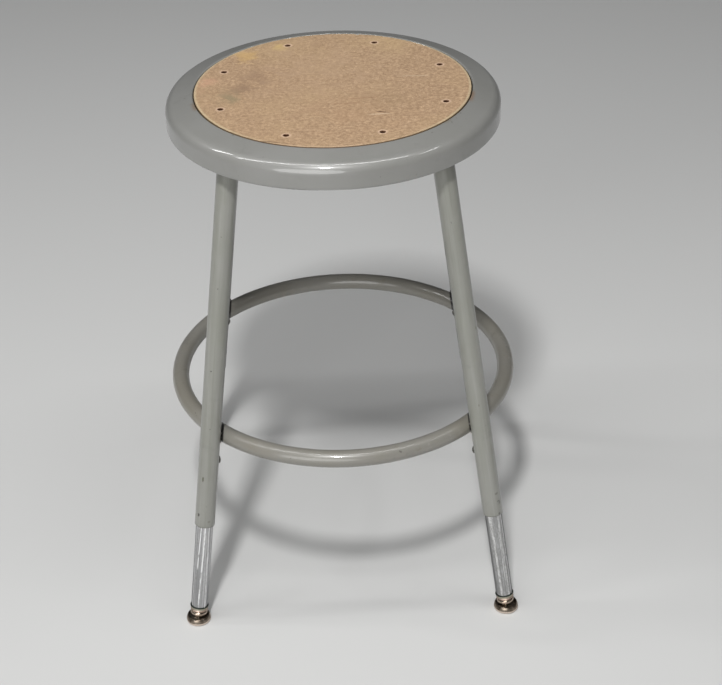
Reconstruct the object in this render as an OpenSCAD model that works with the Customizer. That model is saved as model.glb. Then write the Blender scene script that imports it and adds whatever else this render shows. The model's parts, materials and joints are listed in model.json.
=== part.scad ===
// Round shop stool: a hardboard seat sunk in a pressed steel pan on four splayed tube legs with a
// foot ring. Each leg has an extension that a screw locks in a row of holes, and a swivel glide.
// Millimetres, +Z up. The origin is on the floor under the middle of the seat.

/* [Seat pan] */
// Height of the seat above the floor
seat_h = 576.7; // [560:0.1:600]
// Outside diameter of the pan
pan_d = 355.6; // [350:0.1:362]
// Sheet thickness of the pan
pan_wall = 1.2; // [1:0.1:1.4]
// Depth of the pan, from the seat's top to the bottom of the hem
pan_depth = 33; // [30:0.1:36]
// Fall of the rim from the board outwards, in degrees
rim_slope = 14; // [12:0.5:16]
// Radius of the bend between rim and skirt
shoulder_r = 12; // [10:0.5:13]
// Radius of the lip around the board
lip_r = 2; // [1.6:0.1:2.4]
// Radius of the bend at the bottom of the recess
recess_bend_r = 1; // [0.8:0.1:1.4]
// Radius of the rolled hem
hem_r = 2.4; // [2.2:0.1:2.8]
// How far the hem curls round, in degrees
hem_turn = 250; // [200:5:260]

/* [Board] */
// Diameter of the hardboard panel
board_d = 293.4; // [290:0.1:300]
// Thickness of the panel
board_t = 6.35; // [5:0.05:7]
// How far the panel stands above the pan's lip
board_proud = 0.4; // [0.2:0.1:0.8]
// Radius of the panel's top edge
board_edge_r = 1.2; // [0.8:0.1:1.6]
// Gap between the panel and the recess
board_gap = 0.7; // [0.4:0.1:1]

/* [Rivets] */
// Number of rivets through the board
rivet_count = 8; // [6:2:8]
// Diameter of the circle that the rivets lie on
rivet_circle_d = 252.4; // [246:0.1:258]
// Bearing of the first rivet, in degrees
rivet_start = 22.5; // [22:0.5:23]
// Diameter of a rivet's head
rivet_head_d = 5; // [4.6:0.1:5.4]
// Thickness of a rivet's head
rivet_head_t = 0.9; // [0.7:0.1:1.2]
// How deep a head sits below the board's face
rivet_sink = 0.35; // [0.2:0.05:0.6]
// Shank diameter of a rivet
rivet_shank_d = 3.4; // [3:0.1:3.6]
// Diameter of a rivet's clinched tail
rivet_tail_d = 6; // [5.4:0.1:6.6]
// Height of a rivet's clinched tail
rivet_tail_h = 1.6; // [1.2:0.1:1.6]

/* [Under-seat spider] */
// Sheet thickness of the spider
spider_t = 2; // [1.6:0.1:2.2]
// Reach of each arm from the middle of the seat
spider_reach = 162; // [161:0.5:163]
// Width of an arm over its flanges
spider_arm_w = 34; // [32:0.5:36]
// Height of the turned-down flanges
spider_flange_h = 12; // [10:0.5:14]
// Radius of the round middle of the spider
spider_hub_r = 45; // [42:1:48]
// Diameter of the hole in the middle of the spider
spider_hole_d = 24; // [20:1:28]

/* [Legs] */
// Lean of each leg outwards, in degrees
leg_splay = 10.12; // [9.5:0.02:11]
// Distance from the seat's axis to a leg's axis where it meets the spider
leg_top_r = 149.4; // [148:0.1:149.5]
// Outside diameter of an upper leg tube
leg_d = 22.225; // [22.1:0.025:22.4]
// Wall thickness of the leg tubes
leg_wall = 1.24; // [1.1:0.02:1.3]
// Height of the upper tubes' open lower ends
leg_end_h = 126.5; // [120:0.5:132]
// Outside diameter of a lower leg tube
lower_d = 19.05; // [18.8:0.05:19.1]
// Height of the lower tubes' bottom ends
lower_end_h = 20.6; // [20.2:0.1:21.4]

/* [Height adjustment] */
// Height of the lock screws
lock_h = 204; // [202:0.5:207]
// Distance between neighbouring holes in a lower tube
hole_pitch = 25.4; // [25:0.1:25.8]
// Holes above the locked one, and below it
hole_steps = 3; // [2:1:3]
// Diameter of the holes in a lower tube
hole_d = 6.35; // [6:0.05:6.6]
// Tube left above the top hole
hole_margin = 14; // [12:1:18]
// Shank diameter of a lock screw
screw_d = 4.8; // [4.4:0.1:5]
// How far a screw's shank reaches in from the tube's outside
screw_reach = 5.6; // [5:0.1:6.5]
// Diameter of a screw's domed head
screw_head_d = 11.4; // [10.8:0.1:11.8]
// Height of a screw's head
screw_head_h = 2.8; // [2.6:0.1:3.2]
// Thickness of a screw's head at its edge
screw_edge_t = 0.7; // [0.5:0.1:1]
// Length of each arm-to-arm slot of a screw's cross recess
screw_slot_l = 5.4; // [5:0.1:6]
// Width of the slots of a screw's cross recess
screw_slot_w = 1.3; // [1.1:0.1:1.5]
// Depth of a screw's cross recess
screw_slot_depth = 1.5; // [1.2:0.1:1.8]
// Height of the pressed guide dimples
dimple_h = 144.5; // [142:0.5:147]
// Depth of the guide dimples
dimple_depth = 0.5; // [0.4:0.05:0.55]
// Radius of the tool that presses the dimples
dimple_r = 2.6; // [2.4:0.1:3]

/* [Foot ring] */
// Height of the foot ring's centre line
ring_h = 228.5; // [226:0.5:231]
// Outside diameter of the ring's tube
ring_tube_d = 19.05; // [18.8:0.05:19.3]
// Radius of a weld bead's section
bead_r = 2.1; // [1.9:0.1:2.4]
// Turn of a weld bead round its leg, in degrees
bead_turn = 56; // [50:2:60]
// Distance of a weld bead's centre from the contact of ring and leg
bead_lift = 5; // [4.6:0.1:5.2]
// Height of the weld fillets at the legs' tops
top_weld_h = 4; // [3.4:0.1:4.6]
// Width of the weld fillets at the legs' tops
top_weld_w = 3; // [2.6:0.1:3.2]

/* [Swivel glides] */
// Diameter of a glide's base
base_d = 27.7; // [27.4:0.1:28.4]
// Height of a glide's base
base_h = 8.3; // [8.1:0.1:8.4]
// Radius of the base's bottom edge
base_edge_r = 2.6; // [2.2:0.1:3]
// Diameter of the base's rim, outside
base_rim_d = 24.2; // [24:0.1:24.6]
// Diameter of the hollow inside the rim
base_hollow_d = 22.6; // [22.5:0.1:22.9]
// Height of the hollow's floor
base_floor_h = 5; // [4.6:0.1:5.2]
// Diameter of the boss around the ball
boss_d = 10.4; // [10:0.1:11]
// Height of the boss around the ball
boss_h = 6.6; // [6.4:0.1:6.7]
// Diameter of the ball
ball_d = 7; // [6.9:0.1:7.1]
// Height of the ball's centre
ball_h = 4.6; // [4.55:0.01:4.65]
// Diameter of the neck above the ball
neck_d = 4; // [3.6:0.1:4.2]
// Outside diameter of the stem's domed shoulder
dome_d = 19.4; // [19:0.1:19.5]
// Height of the domed shoulder
dome_t = 6.6; // [6.2:0.1:6.6]
// Diameter of the stem's shank
stem_d = 6; // [5.8:0.1:6.2]
// Diameter of the stem's upset head
stem_head_d = 8.4; // [8:0.1:9]
// Height of the stem's upset head
stem_head_h = 1.2; // [1:0.1:1.6]
// Diameter of the collar under a lower tube
collar_d = 19.6; // [19.3:0.1:20]
// Height of the collar
collar_t = 5.7; // [5.4:0.1:5.8]
// Diameter of the thin flange on top of the collar
collar_lip_d = 20.9; // [20.9:0.1:21.2]
// Thickness of the thin flange on top of the collar
collar_lip_t = 0.9; // [0.7:0.1:1.2]
// Height of the plug inside a lower tube
plug_h = 15; // [12:0.5:18]
// Wall thickness of the plug
plug_wall = 1.5; // [1.2:0.1:1.8]

/* [Fits] */
// Clearance between a rivet's shank and its holes, on the diameter
rivet_fit = 0.2; // [0.1:0.05:0.3]
// Clearance between a rivet's head and its counterbore, on the diameter
rivet_head_fit = 0.6; // [0.4:0.1:0.8]
// Clearance between a screw's shank and the hole in an upper tube, on the diameter
screw_fit = 0.2; // [0.1:0.05:0.3]
// Clearance between the foot ring and the legs
ring_gap = 0.15; // [0.1:0.05:0.3]
// Clearance between the guide dimples and a lower tube
dimple_fit = 0.06; // [0.05:0.01:0.1]
// Clearance between the plug and a lower tube, on the radius
plug_fit = 0.1; // [0.05:0.01:0.15]
// Clearance between the stem's shank and the collar, on the radius
stem_fit = 0.05; // [0.03:0.01:0.1]
// Clearance between the ball and its socket, on the radius
ball_fit = 0.05; // [0.03:0.01:0.08]
// Gap between the domed shoulder and the collar
dome_gap = 0.2; // [0.15:0.05:0.3]

/* [Hidden] */
$fn = 96;
// Facets round the foot ring, which is much larger than the rest
ring_fn = 480;

// Bearings of the legs: front left, front right, rear right, rear left
leg_angles = [225, 315, 45, 135];
front_left = 0;
front_right = 1;
rear_right = 2;
rear_left = 3;

// Overlap that lets a cut pass clear through a face
cut = 1;
// Steps in each arc of an outline
arc_steps = 8;

pan_r = pan_d / 2;
board_r = board_d / 2;
recess_r = board_r + board_gap;
recess_z = seat_h - board_t;
pan_bottom_z = seat_h - pan_depth;
lip_c = [recess_r + lip_r, seat_h - board_proud - lip_r];
shoulder_x = pan_r - shoulder_r;
rim_fall = (shoulder_x - lip_c[0]) * tan(rim_slope) + (shoulder_r - lip_r) / cos(rim_slope);
shoulder_c = [shoulder_x, lip_c[1] - rim_fall];
bend_c = [recess_r - recess_bend_r, recess_z + recess_bend_r];
hem_c = [pan_r - hem_r, pan_bottom_z + hem_r];

spider_top_z = recess_z - pan_wall;
leg_top_z = spider_top_z - spider_t;
flange_z = leg_top_z - spider_flange_h + spider_t;

foot_r = leg_top_r + leg_top_z * tan(leg_splay);
leg_r = leg_d / 2;
leg_bore_r = leg_r - leg_wall;
leg_end_s = leg_end_h / cos(leg_splay);
leg_top_s = leg_top_z / cos(leg_splay);

lower_r = lower_d / 2;
lower_bore_r = lower_r - leg_wall;
lower_end_s = lower_end_h / cos(leg_splay);
lock_s = lock_h / cos(leg_splay);
lower_len = lock_s + hole_steps * hole_pitch + hole_margin - lower_end_s;

dimple_s = dimple_h / cos(leg_splay);
dimple_x = leg_r - dimple_depth + dimple_r;
bump_r = dimple_x - lower_r - dimple_fit;

ring_tube_r = ring_tube_d / 2;
ring_bore_r = ring_tube_r - leg_wall;
ring_r = foot_r - ring_h * tan(leg_splay) - (leg_r + ring_tube_r + ring_gap) / cos(leg_splay);
contact_s = (foot_r - ring_r) * sin(leg_splay) + ring_h * cos(leg_splay);

base_r = base_d / 2;
rim_r = base_rim_d / 2;
base_rise = base_h - base_edge_r;
flank_r = (pow(base_r - rim_r, 2) + pow(base_rise, 2)) / (2 * (base_r - rim_r));
base_axis_r = foot_r - ball_h * tan(leg_splay);
ball_s = ball_h / cos(leg_splay);
socket_r = ball_d / 2 + ball_fit;

collar_s = lower_end_s - collar_t;
dome_minor_r = dome_t / 2;
dome_major_r = dome_d / 2 - dome_minor_r;
dome_s = collar_s - dome_gap - dome_minor_r;
plug_r = lower_bore_r - plug_fit;

// Points along an arc round c from angle a to angle b
function arc(c, r, a, b) =
    [for (i = [0:arc_steps]) let (t = a + (b - a) * i / arc_steps) c + r * [cos(t), sin(t)]];

// Places children on a leg's axis at the distance s from the floor, with +Z up the leg and +X outwards
module on_leg(i, s) {
    rotate([0, 0, leg_angles[i]])
        translate([foot_r, 0, 0])
            rotate([0, -leg_splay, 0])
                translate([0, 0, s])
                    children();
}

// Turns children so that their +Z points from a leg's axis to the seat's axis
module inward() {
    rotate([0, -90, 0])
        children();
}

// Places children at every rivet
module at_rivets() {
    for (i = [0:rivet_count - 1])
        rotate([0, 0, rivet_start + i * 360 / rivet_count])
            translate([rivet_circle_d / 2, 0, 0])
                children();
}

// Section of the pan, from the middle of the recess out over the rim to the hem and back inside it
module pan_section() {
    upper_turn = 90 - rim_slope;
    polygon(concat(
        [[0, recess_z]],
        arc(bend_c, recess_bend_r, -90, 0),
        arc(lip_c, lip_r, 180, upper_turn),
        arc(shoulder_c, shoulder_r, upper_turn, 0),
        arc(hem_c, hem_r, 0, -hem_turn / 2),
        arc(hem_c, hem_r, -hem_turn / 2, -hem_turn),
        arc(hem_c, hem_r - pan_wall, -hem_turn, -hem_turn / 2),
        arc(hem_c, hem_r - pan_wall, -hem_turn / 2, 0),
        arc(shoulder_c, shoulder_r - pan_wall, 0, upper_turn),
        arc(lip_c, lip_r - pan_wall, upper_turn, 180),
        arc(bend_c, recess_bend_r + pan_wall, 0, -90),
        [[0, recess_z - pan_wall]]
    ));
}

module seat_pan() {
    color("#87877f")
        difference() {
            rotate_extrude()
                pan_section();
            at_rivets()
                translate([0, 0, recess_z - pan_wall - cut])
                    cylinder(h = pan_wall + 2 * cut, d = rivet_shank_d + rivet_fit);
        }
}

module seat_board() {
    counterbore_t = rivet_head_t + rivet_sink;
    color("#b49778")
        difference() {
            translate([0, 0, recess_z])
                rotate_extrude() {
                    square([board_r, board_t - board_edge_r]);
                    square([board_r - board_edge_r, board_t]);
                    translate([board_r - board_edge_r, board_t - board_edge_r])
                        circle(r = board_edge_r);
                }
            at_rivets() {
                translate([0, 0, recess_z - cut])
                    cylinder(h = board_t + 2 * cut, d = rivet_shank_d + rivet_fit);
                translate([0, 0, seat_h - counterbore_t])
                    cylinder(h = counterbore_t + cut, d = rivet_head_d + rivet_head_fit);
            }
        }
}

module board_rivets() {
    head_z = seat_h - rivet_sink - rivet_head_t;
    tail_z = recess_z - pan_wall - rivet_tail_h;
    color("#3a2a20")
        at_rivets()
            union() {
                translate([0, 0, head_z])
                    cylinder(h = rivet_head_t, d = rivet_head_d);
                translate([0, 0, tail_z])
                    cylinder(h = head_z - tail_z + rivet_head_t / 2, d = rivet_shank_d);
                translate([0, 0, tail_z])
                    cylinder(h = rivet_tail_h, d = rivet_tail_d);
            }
}

// One turned-down flange along an arm, cut slanting at both ends
module spider_flange() {
    end_fall = spider_flange_h / 2;
    rotate([90, 0, 0])
        linear_extrude(height = spider_t)
            polygon([
                [0, spider_top_z],
                [0, leg_top_z],
                [spider_hub_r, leg_top_z],
                [spider_hub_r + spider_flange_h, flange_z],
                [spider_reach - spider_flange_h, flange_z],
                [spider_reach, flange_z + end_fall],
                [spider_reach, spider_top_z]
            ]);
}

module leg_spider() {
    color("#77776f")
        difference() {
            union() {
                for (a = leg_angles)
                    rotate([0, 0, a]) {
                        translate([0, -spider_arm_w / 2, leg_top_z])
                            cube([spider_reach, spider_arm_w, spider_t]);
                        for (y = [spider_t - spider_arm_w / 2, spider_arm_w / 2])
                            translate([0, y, 0])
                                spider_flange();
                    }
                translate([0, 0, leg_top_z])
                    cylinder(h = spider_t, r = spider_hub_r);
            }
            translate([0, 0, leg_top_z - cut])
                cylinder(h = spider_t + 2 * cut, d = spider_hole_d);
        }
}

// The space above the legs' cut tops
module above_legs() {
    translate([-foot_r, -foot_r, leg_top_z])
        cube([2 * foot_r, 2 * foot_r, seat_h]);
}

module leg_welds() {
    root = top_weld_w / 8;
    color("#6c6c66")
        for (i = [front_left:rear_left])
            difference() {
                on_leg(i, leg_top_s - top_weld_h)
                    cylinder(h = 2 * top_weld_h, r1 = leg_r + root, r2 = leg_r + 2 * top_weld_w);
                on_leg(i, leg_top_s - 2 * top_weld_h)
                    cylinder(h = 4 * top_weld_h, r = leg_r);
                above_legs();
            }
}

module upper_leg(i) {
    color("#7f7f78")
        difference() {
            on_leg(i, leg_end_s)
                cylinder(h = leg_top_s - leg_end_s + leg_r, r = leg_r);
            difference() {
                on_leg(i, leg_end_s - cut)
                    cylinder(h = leg_top_s - leg_end_s + leg_d, r = leg_bore_r);
                on_leg(i, dimple_s)
                    translate([dimple_x, 0, 0])
                        sphere(r = bump_r);
            }
            on_leg(i, dimple_s)
                translate([dimple_x, 0, 0])
                    sphere(r = dimple_r);
            on_leg(i, lock_s)
                inward()
                    cylinder(h = leg_d, d = screw_d + screw_fit);
            above_legs();
        }
}

module foot_ring() {
    color("#85806f")
        translate([0, 0, ring_h])
            rotate_extrude()
                translate([ring_r, 0])
                    difference() {
                        circle(r = ring_tube_r);
                        circle(r = ring_bore_r);
                    }
}

// One bead that follows the inner side of a leg, above or below the ring
module ring_weld(i, lift) {
    difference() {
        on_leg(i, contact_s + lift)
            rotate([0, 0, 180 - bead_turn / 2])
                rotate_extrude(angle = bead_turn)
                    translate([leg_r, 0])
                        circle(r = bead_r);
        on_leg(i, contact_s - ring_tube_d)
            cylinder(h = 2 * ring_tube_d, r = leg_r);
        translate([0, 0, ring_h])
            rotate_extrude($fn = ring_fn)
                translate([ring_r, 0])
                    circle(r = ring_tube_r, $fn = 96);
    }
}

module ring_welds() {
    color("#8d8674")
        for (i = [front_left:rear_left], lift = [-bead_lift, bead_lift])
            ring_weld(i, lift);
}

// Section of a screw's head, domed above a straight edge
module screw_head_section() {
    head_r = screw_head_d / 2;
    rise = screw_head_h - screw_edge_t;
    dome_r = (pow(head_r, 2) + pow(rise, 2)) / (2 * rise);
    polygon(concat(
        [[0, 0], [head_r, 0]],
        arc([0, screw_head_h - dome_r], dome_r, acos(head_r / dome_r), 90)
    ));
}

// One screw along +Z, its head's seat at z = 0
module lock_screw() {
    difference() {
        union() {
            rotate_extrude()
                screw_head_section();
            translate([0, 0, -screw_reach])
                cylinder(h = screw_reach + screw_edge_t / 2, d = screw_d);
        }
        for (a = [45, 135])
            rotate([0, 0, a])
                translate([-screw_slot_l / 2, -screw_slot_w / 2, screw_head_h - screw_slot_depth])
                    cube([screw_slot_l, screw_slot_w, screw_slot_depth + cut]);
    }
}

module lock_screws() {
    color("#9a978c")
        for (i = [front_left:rear_left])
            on_leg(i, lock_s)
                inward()
                    translate([0, 0, leg_r])
                        lock_screw();
}

module lower_leg(i) {
    color("#b4b4b0")
        difference() {
            on_leg(i, lower_end_s)
                cylinder(h = lower_len, r = lower_r);
            on_leg(i, lower_end_s - cut)
                cylinder(h = lower_len + 2 * cut, r = lower_bore_r);
            for (k = [-hole_steps:hole_steps])
                on_leg(i, lock_s + k * hole_pitch)
                    inward()
                        cylinder(h = lower_d, d = hole_d);
        }
}

module glide_insert(i) {
    color("#8a8068")
        on_leg(i, collar_s)
            difference() {
                union() {
                    cylinder(h = collar_t, d = collar_d);
                    translate([0, 0, collar_t - collar_lip_t])
                        cylinder(h = collar_lip_t, d = collar_lip_d);
                    cylinder(h = collar_t + plug_h, r = plug_r);
                }
                translate([0, 0, -cut])
                    cylinder(h = collar_t + 2 * cut, r = stem_d / 2 + stem_fit);
                translate([0, 0, collar_t])
                    cylinder(h = plug_h + cut, r = plug_r - plug_wall);
            }
}

module glide_stem(i) {
    color("#9c8d80")
        on_leg(i, 0)
            union() {
                translate([0, 0, ball_s])
                    sphere(d = ball_d);
                translate([0, 0, ball_s])
                    cylinder(h = dome_s - ball_s, d = neck_d);
                translate([0, 0, dome_s])
                    rotate_extrude() {
                        translate([dome_major_r, 0])
                            circle(r = dome_minor_r);
                        translate([0, -dome_minor_r / 2])
                            square([dome_major_r, dome_t * 3 / 4]);
                    }
                translate([0, 0, dome_s])
                    cylinder(h = lower_end_s - dome_s + stem_head_h / 2, d = stem_d);
                translate([0, 0, lower_end_s])
                    cylinder(h = stem_head_h, d = stem_head_d);
            }
}

// Section of a glide's base, with a domed flank, a hollow inside the rim and a boss round the ball
module base_section() {
    flank_c = [base_r - flank_r, base_edge_r];
    edge_c = [base_r - base_edge_r, base_edge_r];
    polygon(concat(
        [[0, 0]],
        arc(edge_c, base_edge_r, -90, 0),
        arc(flank_c, flank_r, 0, asin(base_rise / flank_r)),
        [
            [base_hollow_d / 2, base_h],
            [base_hollow_d / 2, base_floor_h],
            [boss_d / 2, base_floor_h],
            [boss_d / 2, boss_h],
            [0, boss_h]
        ]
    ));
}

module glide_base(i) {
    color("#6f5d4c")
        rotate([0, 0, leg_angles[i]])
            translate([base_axis_r, 0, 0])
                difference() {
                    rotate_extrude()
                        base_section();
                    translate([0, 0, ball_h])
                        sphere(r = socket_r);
                }
}

seat_pan();
seat_board();
board_rivets();
leg_spider();
leg_welds();
upper_leg(front_left);  // upper_leg_front_left
upper_leg(front_right);  // upper_leg_front_right
upper_leg(rear_right);  // upper_leg_rear_right
upper_leg(rear_left);  // upper_leg_rear_left
foot_ring();
ring_welds();
lock_screws();
lower_leg(front_left);  // lower_leg_front_left
lower_leg(front_right);  // lower_leg_front_right
lower_leg(rear_right);  // lower_leg_rear_right
lower_leg(rear_left);  // lower_leg_rear_left
glide_insert(front_left);  // glide_insert_front_left
glide_insert(front_right);  // glide_insert_front_right
glide_insert(rear_right);  // glide_insert_rear_right
glide_insert(rear_left);  // glide_insert_rear_left
glide_stem(front_left);  // glide_stem_front_left
glide_stem(front_right);  // glide_stem_front_right
glide_stem(rear_right);  // glide_stem_rear_right
glide_stem(rear_left);  // glide_stem_rear_left
glide_base(front_left);  // glide_base_front_left
glide_base(front_right);  // glide_base_front_right
glide_base(rear_right);  // glide_base_rear_right
glide_base(rear_left);  // glide_base_rear_left
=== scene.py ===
import json
import random
from math import acos, asin, atan2, copysign, cos, degrees, pi, radians, sin, tan

import bpy
from mathutils import Matrix, Vector


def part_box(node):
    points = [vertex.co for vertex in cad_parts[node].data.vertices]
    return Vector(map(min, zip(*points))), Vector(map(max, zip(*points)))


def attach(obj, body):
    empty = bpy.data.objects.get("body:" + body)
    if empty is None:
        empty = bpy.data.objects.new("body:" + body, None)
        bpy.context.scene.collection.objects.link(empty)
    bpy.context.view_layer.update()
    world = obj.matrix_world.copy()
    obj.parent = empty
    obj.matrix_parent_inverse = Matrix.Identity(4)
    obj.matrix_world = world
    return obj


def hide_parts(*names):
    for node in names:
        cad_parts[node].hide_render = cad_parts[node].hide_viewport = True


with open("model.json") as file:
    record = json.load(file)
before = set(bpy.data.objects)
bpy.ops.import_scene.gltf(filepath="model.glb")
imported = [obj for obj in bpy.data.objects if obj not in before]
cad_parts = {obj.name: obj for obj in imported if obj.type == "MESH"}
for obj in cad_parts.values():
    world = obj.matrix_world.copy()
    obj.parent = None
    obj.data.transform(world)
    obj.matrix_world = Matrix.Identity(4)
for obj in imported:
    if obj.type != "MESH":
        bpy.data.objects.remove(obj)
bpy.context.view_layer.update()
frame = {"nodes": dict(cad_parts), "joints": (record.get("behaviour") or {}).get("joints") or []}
joints = {joint["name"]: joint for joint in frame["joints"]}
sides = ["front_left", "front_right", "rear_right", "rear_left"]
pole = 1e-6  # a ring this small closes to a point when doubles are merged
nearPole = 89.9  # arcs to the axis stop here, short of a point
print("frame loaded:", len(frame["nodes"]), "nodes")


def clearSelection():
    if bpy.context.mode != "OBJECT":
        bpy.ops.object.mode_set(mode="OBJECT")
    bpy.ops.object.select_all(action="DESELECT")


def pick(ob):
    clearSelection()
    ob.select_set(True)
    bpy.context.view_layer.objects.active = ob


def editAll(ob):
    pick(ob)
    bpy.ops.object.mode_set(mode="EDIT")
    bpy.ops.mesh.select_all(action="SELECT")


def editWhere(ob, test, mode="VERT"):
    # goes to edit mode with the points, or the edges between them, that pass a test of their place
    pick(ob)
    mesh = ob.data
    hits = [bool(test(v.co)) for v in mesh.vertices]
    mesh.vertices.foreach_set("select", hits)
    mesh.edges.foreach_set("select", [hits[e.vertices[0]] and hits[e.vertices[1]] for e in mesh.edges])
    mesh.polygons.foreach_set("select", [all(hits[i] for i in f.vertices) for f in mesh.polygons])
    bpy.ops.object.mode_set(mode="EDIT")
    bpy.ops.mesh.select_mode(type=mode)


def objectMode():
    bpy.ops.object.mode_set(mode="OBJECT")


def arc(x, z, radius, start, end, steps=8):
    # points of a section along an arc, angles in degrees
    turns = [radians(start + (end - start) * k / steps) for k in range(steps + 1)]
    return [(x + radius * cos(t), z + radius * sin(t)) for t in turns]


def between(first, last, count):
    # points along a straight stretch, both ends left out
    return [tuple(a + (b - a) * k / (count + 1) for a, b in zip(first, last)) for k in range(1, count + 1)]


def corner(x, z, edge, start, steps=3):
    # a quarter turn, from a start angle on, that rounds off the corner at (x, z)
    middle = radians(start + 45)
    inX, inZ = copysign(edge, cos(middle)), copysign(edge, sin(middle))
    return arc(x - inX, z - inZ, edge, start, start + 90, steps)


def circle(name, sides, radius, place=(0, 0, 0), turn=0):
    # a ring of points, level or turned about X
    clearSelection()
    bpy.ops.mesh.primitive_circle_add(vertices=sides, radius=radius, location=place, rotation=(turn, 0, 0))
    ob = bpy.context.object
    ob.name = name
    bpy.ops.object.transform_apply()
    return ob


def turned(name, section, ringSides):
    # a circle drawn out ring by ring through (radius, height) steps
    startR, startZ = section[0]
    ob = circle(name, ringSides, startR, (0, 0, startZ))
    editAll(ob)
    for (r0, z0), (r1, z1) in zip(section, section[1:]):
        bpy.ops.mesh.extrude_region_move(TRANSFORM_OT_translate={"value": (0, 0, z1 - z0)})
        bpy.ops.transform.resize(value=(r1 / r0, r1 / r0, 1), center_override=(0, 0, 0))
    objectMode()
    return ob


def closeUp(ob, gap=4e-6):
    # merges what meets and turns all faces outwards
    editAll(ob)
    bpy.ops.mesh.remove_doubles(threshold=gap)
    bpy.ops.mesh.normals_make_consistent(inside=False)
    objectMode()
    return ob


def smooth(ob, angle=40):
    pick(ob)
    bpy.ops.object.shade_smooth_by_angle(angle=radians(angle))
    return ob


def pressed(ob, spot, move, size, falloff="SPHERE"):
    # pushes the surface at one spot, and softly round it
    spot = Vector(spot)
    near = min((v.co.copy() for v in ob.data.vertices), key=lambda co: (co - spot).length)
    editWhere(ob, lambda co: (co - near).length < 1e-6)
    bpy.ops.transform.translate(
        value=move, use_proportional_edit=True, use_proportional_connected=True,
        proportional_edit_falloff=falloff, proportional_size=size,
    )
    objectMode()
    return ob


def settle(ob, place):
    # moves a piece by a matrix and leaves the move in its mesh
    ob.matrix_world = place @ ob.matrix_world
    pick(ob)
    bpy.ops.object.transform_apply()
    return ob


def linked(ob):
    bpy.context.scene.collection.objects.link(ob)
    return ob


def copyOf(ob, name):
    twin = ob.copy()
    twin.data = ob.data.copy()
    twin.name = name
    return linked(twin)


def discard(*obs):
    for ob in obs:
        bpy.data.objects.remove(ob)


def applyModifier(ob, kind, **settings):
    mod = ob.modifiers.new(kind.lower(), kind)
    for key, value in settings.items():
        setattr(mod, key, value)
    pick(ob)
    bpy.ops.object.modifier_apply(modifier=mod.name)
    return ob


def joined(obs):
    pick(obs[0])
    for ob in obs[1:]:
        ob.select_set(True)
    bpy.ops.object.join()
    return bpy.context.object


def combine(ob, tools, operation="DIFFERENCE"):
    # cuts tools out of a piece, or adds them to it, and takes the tools away
    tool = joined(tools) if len(tools) > 1 else tools[0]
    applyModifier(ob, "BOOLEAN", operation=operation, object=tool, solver="EXACT")
    discard(tool)
    return closeUp(ob)


def pin(place, radius, depth, towards=(0, 0, 1), radius2=None):
    # a round cutter centred at a place
    clearSelection()
    bpy.ops.mesh.primitive_cone_add(
        vertices=32, radius1=radius, radius2=radius if radius2 is None else radius2, depth=depth,
        location=place, rotation=Vector(towards).to_track_quat("Z", "Y").to_euler(),
    )
    return bpy.context.object


def markPlace(ob):
    # keeps each point's place in the piece's own frame, for patterns that follow it
    places = ob.data.attributes.new("ownPlace", "FLOAT_VECTOR", "POINT")
    flat = [0.0] * (3 * len(ob.data.vertices))
    ob.data.vertices.foreach_get("co", flat)
    places.data.foreach_set("vector", flat)
    return ob


def finishPiece(ob, body, mat, node):
    ob.data.materials.clear()
    ob.data.materials.append(mat)
    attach(ob, body)
    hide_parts(node)


def placeCopy(master, name, place, body, mat, node):
    # a finished copy of a master piece, moved to its place
    finishPiece(settle(copyOf(master, name), place), body, mat, node)


def legFrame(side, along=0):
    # a leg's own frame: Z up the tube, X outwards, Y round the stool, from the floor point
    up = -Vector(joints["extend_" + side]["axis"])
    across = Vector(joints["tilt_" + side]["axis"])
    out = across.cross(up)
    ball = Vector(joints["tilt_" + side]["pos_m"])
    place = Matrix((out, across, up)).transposed().to_4x4()
    place.translation = ball - up * (ball.z / up.z) + up * along
    return place


legRise = -joints["extend_front_left"]["axis"][2]  # height won per length of leg


def alongLeg(height):
    return height / legRise


tree = None  # the nodes of the material in hand, which newMaterial sets


def setSocket(socket, value):
    # a value or a link
    if isinstance(value, bpy.types.NodeSocket):
        tree.links.new(value, socket)
    else:
        socket.default_value = value


def put(kind, settings=None, inputs=None):
    # one shader node
    node = tree.nodes.new("ShaderNode" + kind)
    for key, value in (settings or {}).items():
        setattr(node, key, value)
    for key, value in (inputs or {}).items():
        setSocket(node.inputs[key], value)
    return node


def feed(**values):
    # sets the shader's sockets, named with _ for a space
    for key, value in values.items():
        setSocket(tree.nodes["Principled BSDF"].inputs[key.replace("_", " ")], value)


def newMaterial(name, own=False, **sockets):
    # starts a material for the helpers below; own makes its patterns follow the piece's own frame
    global tree
    mat = bpy.data.materials.new(name)
    mat.use_nodes = True
    tree = mat.node_tree
    feed(**sockets)
    if own:
        return mat, put("Attribute", {"attribute_name": "ownPlace"}).outputs["Vector"]
    return mat, put("TexCoord").outputs["Object"]


def noise(coord, scale, detail, roughness, distortion=0):
    return put("TexNoise", None, {
        "Vector": coord, "Scale": scale, "Detail": detail,
        "Roughness": roughness, "Distortion": distortion,
    }).outputs["Fac"]


def ramp(factor, *stops):
    # stops are (place, colour) pairs
    node = put("ValToRGB", None, {"Fac": factor})
    spots = node.color_ramp.elements
    while len(spots) < len(stops):
        spots.new(0.5)
    for spot, (place, colour) in zip(spots, stops):
        spot.position = place
        spot.color = (*colour, 1)
    return node.outputs["Color"]


def spread(value, low, high, toLow=0, toHigh=1):
    # a smooth step between two values
    return put("MapRange", {"interpolation_type": "SMOOTHSTEP"}, {
        "Value": value, "From Min": low, "From Max": high, "To Min": toLow, "To Max": toHigh,
    }).outputs["Result"]


def fade(value, full, none, strength=1):
    # a smooth step down to nothing
    return spread(value, full, none, strength, 0)


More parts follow.
